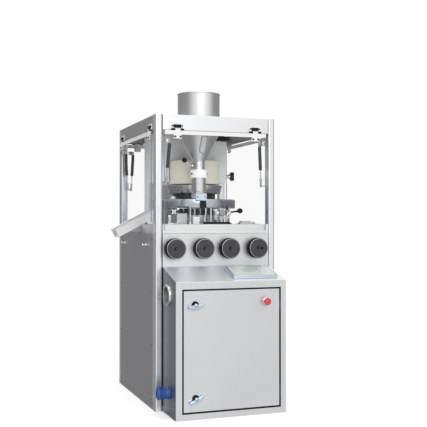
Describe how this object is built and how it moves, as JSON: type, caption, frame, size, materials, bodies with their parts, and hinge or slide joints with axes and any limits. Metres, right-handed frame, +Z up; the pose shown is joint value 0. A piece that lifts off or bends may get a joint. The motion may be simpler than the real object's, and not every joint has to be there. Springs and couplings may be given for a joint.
{
  "type": "rotary tablet press",
  "caption": "Floor-standing rotary tablet press: glazed press chamber with turret and hopper, front control cabinet, handwheels and discharge chute.",
  "frame": {"origin": "centre of the main body's footprint, on the floor", "axes": "+Z up; front with control cabinet faces -Y; chute leaves towards -X"},
  "size_m": [0.9007, 1.168, 1.8],
  "materials": {
    "post_paint": "satin white paint",
    "panel_light": "satin stainless, light",
    "panel_dark": "satin stainless, seen dark",
    "cast_light": "grey painted casting",
    "steel": "polished steel",
    "chrome": "chrome plate",
    "cream": "cream paint",
    "black_plastic": "black moulded",
    "red_plastic": "red moulded",
    "blue_plastic": "blue moulded",
    "pale_blue": "pale blue-grey",
    "acrylic": "clear acrylic",
    "bronze": "machined bronze",
    "motor_paint": "blue-grey enamel",
    "strut_black": "black lacquer"
  },
  "bodies": {
    "frame": {"base_plate": "panel_dark", "post_front_left": "post_paint", "post_front_right": "post_paint", "post_rear_left": "post_paint", "post_rear_right": "post_paint", "left_side_panel": "panel_dark", "right_side_panel": "panel_dark", "rear_panel": "panel_dark", "handwheel_panel": "panel_light", "deck_plate": "panel_light", "roof_header": "panel_light", "control_cabinet": "panel_light", "operator_panel": "panel_light", "power_inlet": "blue_plastic", "gearbox_housing": "cast_light", "drive_motor": "motor_paint", "head_casting": "cast_light", "upper_cam_cover": "cream", "dust_ring": "steel", "table_guard_ring": "steel", "hopper": "steel", "hopper_clamp_collar": "post_paint", "feed_tube": "chrome", "feeder_block": "pale_blue", "discharge_chute": "steel"},
    "turret": {"turret": "steel", "upper_punch_set": "steel", "lower_punch_set": "steel", "main_shaft": "steel", "worm_wheel": "bronze"},
    "worm_shaft": {"worm_shaft": "steel"},
    "motor_pulley": {"motor_pulley": "steel"},
    "cabinet_door": {"cabinet_door": "panel_light"},
    "latch_upper": {"latch_upper": "chrome"},
    "latch_lower": {"latch_lower": "chrome"},
    "emergency_stop": {"emergency_stop_button": "red_plastic"},
    "handwheel_1": {"handwheel_1": "black_plastic"},
    "handwheel_2": {"handwheel_2": "black_plastic"},
    "handwheel_3": {"handwheel_3": "black_plastic"},
    "handwheel_4": {"handwheel_4": "black_plastic"},
    "hopper_gate": {"hopper_gate_lever": "black_plastic"},
    "clamp_knob": {"feeder_clamp_knob": "black_plastic"},
    "ejector_lever": {"ejector_lever": "black_plastic"},
    "head_knob": {"head_knob": "black_plastic"},
    "front_window": {"front_window": "acrylic", "front_hinge_rail": "post_paint"},
    "left_window": {"left_window": "acrylic", "left_hinge_rail": "post_paint"},
    "right_window": {"right_window": "acrylic", "right_hinge_rail": "post_paint"},
    "rear_window": {"rear_window": "acrylic", "rear_hinge_rail": "post_paint"},
    "front_left_strut_rod": {"front_left_strut_rod": "chrome"},
    "front_left_strut_tube": {"front_left_strut_tube": "strut_black"},
    "front_right_strut_rod": {"front_right_strut_rod": "chrome"},
    "front_right_strut_tube": {"front_right_strut_tube": "strut_black"},
    "left_strut_rod": {"left_strut_rod": "chrome"},
    "left_strut_tube": {"left_strut_tube": "strut_black"},
    "rear_strut_rod": {"rear_strut_rod": "chrome"},
    "rear_strut_tube": {"rear_strut_tube": "strut_black"}
  },
  "joints": [
    {"name": "turret_spin", "type": "hinge", "parent": "frame", "child": "turret", "pos_m": [0, -0.03, 1.1], "axis": [0, 0, 1], "continuous": true},
    {"name": "worm_spin", "type": "hinge", "parent": "frame", "child": "worm_shaft", "pos_m": [0, 0.137, 0.72], "axis": [1, 0, 0], "continuous": true},
    {"name": "motor_spin", "type": "hinge", "parent": "frame", "child": "motor_pulley", "pos_m": [0.2, 0.27, 0.2], "axis": [1, 0, 0], "continuous": true},
    {"name": "door_hinge", "type": "hinge", "parent": "frame", "child": "cabinet_door", "pos_m": [0.2825, -0.6815, 0.36], "axis": [0, 0, 1], "range_deg": [0, 120]},
    {"name": "latch_upper_turn", "type": "hinge", "parent": "cabinet_door", "child": "latch_upper", "pos_m": [-0.21, -0.69, 0.605], "axis": [0, 1, 0], "range_deg": [0, 90]},
    {"name": "latch_lower_turn", "type": "hinge", "parent": "cabinet_door", "child": "latch_lower", "pos_m": [-0.207, -0.69, 0.109], "axis": [0, 1, 0], "range_deg": [0, 90]},
    {"name": "stop_press", "type": "slide", "parent": "cabinet_door", "child": "emergency_stop", "axis": [0, 1, 0], "range_m": [0, 0.005], "stiffness_N_per_m": 600},
    {"name": "handwheel_1_turn", "type": "hinge", "parent": "frame", "child": "handwheel_1", "pos_m": [-0.255, -0.46, 0.9], "axis": [0, -1, 0], "continuous": true},
    {"name": "handwheel_2_turn", "type": "hinge", "parent": "frame", "child": "handwheel_2", "pos_m": [-0.087, -0.46, 0.9], "axis": [0, -1, 0], "continuous": true},
    {"name": "handwheel_3_turn", "type": "hinge", "parent": "frame", "child": "handwheel_3", "pos_m": [0.068, -0.46, 0.9], "axis": [0, -1, 0], "continuous": true},
    {"name": "handwheel_4_turn", "type": "hinge", "parent": "frame", "child": "handwheel_4", "pos_m": [0.238, -0.46, 0.9], "axis": [0, -1, 0], "continuous": true},
    {"name": "hopper_gate_turn", "type": "hinge", "parent": "frame", "child": "hopper_gate", "pos_m": [-0.0801, -0.25, 1.38], "axis": [1, 0, 0], "range_deg": [0, 90]},
    {"name": "clamp_knob_turn", "type": "hinge", "parent": "frame", "child": "clamp_knob", "pos_m": [-0.148, -0.28, 1.114], "axis": [0, -1, 0], "continuous": true},
    {"name": "ejector_lever_swing", "type": "hinge", "parent": "frame", "child": "ejector_lever", "pos_m": [0.14, -0.259, 1.104], "axis": [0, -1, 0], "range_deg": [-20, 60]},
    {"name": "head_knob_turn", "type": "hinge", "parent": "frame", "child": "head_knob", "pos_m": [0.2155, 0, 1.336], "axis": [1, 0, 0], "continuous": true},
    {"name": "front_window_hinge", "type": "hinge", "parent": "frame", "child": "front_window", "pos_m": [0, -0.4455, 1.5665], "axis": [-1, 0, 0], "range_deg": [0, 85]},
    {"name": "left_window_hinge", "type": "hinge", "parent": "frame", "child": "left_window", "pos_m": [-0.3695, 0, 1.5665], "axis": [0, 1, 0], "range_deg": [0, 85]},
    {"name": "right_window_hinge", "type": "hinge", "parent": "frame", "child": "right_window", "pos_m": [0.3695, 0, 1.5665], "axis": [0, -1, 0], "range_deg": [0, 85]},
    {"name": "rear_window_hinge", "type": "hinge", "parent": "frame", "child": "rear_window", "pos_m": [0, 0.4455, 1.5665], "axis": [1, 0, 0], "range_deg": [0, 85]},
    {"name": "front_left_strut_lean", "type": "hinge", "parent": "frame", "child": "front_left_strut_rod", "pos_m": [-0.29, -0.4005, 1.261], "axis": [1, 0, 0], "range_deg": [0, 16.85]},
    {"name": "front_left_strut_slide", "type": "slide", "parent": "front_left_strut_rod", "child": "front_left_strut_tube", "axis": [0.0739, -0.0781, 0.9942], "range_m": [0, 0.0519]},
    {"name": "front_right_strut_lean", "type": "hinge", "parent": "frame", "child": "front_right_strut_rod", "pos_m": [0.29, -0.4005, 1.261], "axis": [1, 0, 0], "range_deg": [0, 16.85]},
    {"name": "front_right_strut_slide", "type": "slide", "parent": "front_right_strut_rod", "child": "front_right_strut_tube", "axis": [-0.0739, -0.0781, 0.9942], "range_m": [0, 0.0519]},
    {"name": "left_strut_lean", "type": "hinge", "parent": "frame", "child": "left_strut_rod", "pos_m": [-0.3245, 0.355, 1.261], "axis": [0, -1, 0], "range_deg": [0, 16.85]},
    {"name": "left_strut_slide", "type": "slide", "parent": "left_strut_rod", "child": "left_strut_tube", "axis": [-0.0781, -0.0739, 0.9942], "range_m": [0, 0.0519]},
    {"name": "rear_strut_lean", "type": "hinge", "parent": "frame", "child": "rear_strut_rod", "pos_m": [-0.29, 0.4005, 1.261], "axis": [-1, 0, 0], "range_deg": [0, 16.85]},
    {"name": "rear_strut_slide", "type": "slide", "parent": "rear_strut_rod", "child": "rear_strut_tube", "axis": [0.0739, 0.0781, 0.9942], "range_m": [0, 0.0519]}
  ],
  "couplings": [
    {"joint": "worm_spin", "follows": "turret_spin", "ratio": -20},
    {"joint": "motor_spin", "follows": "turret_spin", "ratio": -30},
    {"joint": "front_left_strut_lean", "follows": "front_window_hinge", "ratio": 0.19593},
    {"joint": "front_left_strut_slide", "follows": "front_window_hinge", "m_per_rad": 0.03445},
    {"joint": "front_right_strut_lean", "follows": "front_window_hinge", "ratio": 0.19593},
    {"joint": "front_right_strut_slide", "follows": "front_window_hinge", "m_per_rad": 0.03445},
    {"joint": "left_strut_lean", "follows": "left_window_hinge", "ratio": 0.19593},
    {"joint": "left_strut_slide", "follows": "left_window_hinge", "m_per_rad": 0.03445},
    {"joint": "rear_strut_lean", "follows": "rear_window_hinge", "ratio": 0.19593},
    {"joint": "rear_strut_slide", "follows": "rear_window_hinge", "m_per_rad": 0.03445}
  ]
}
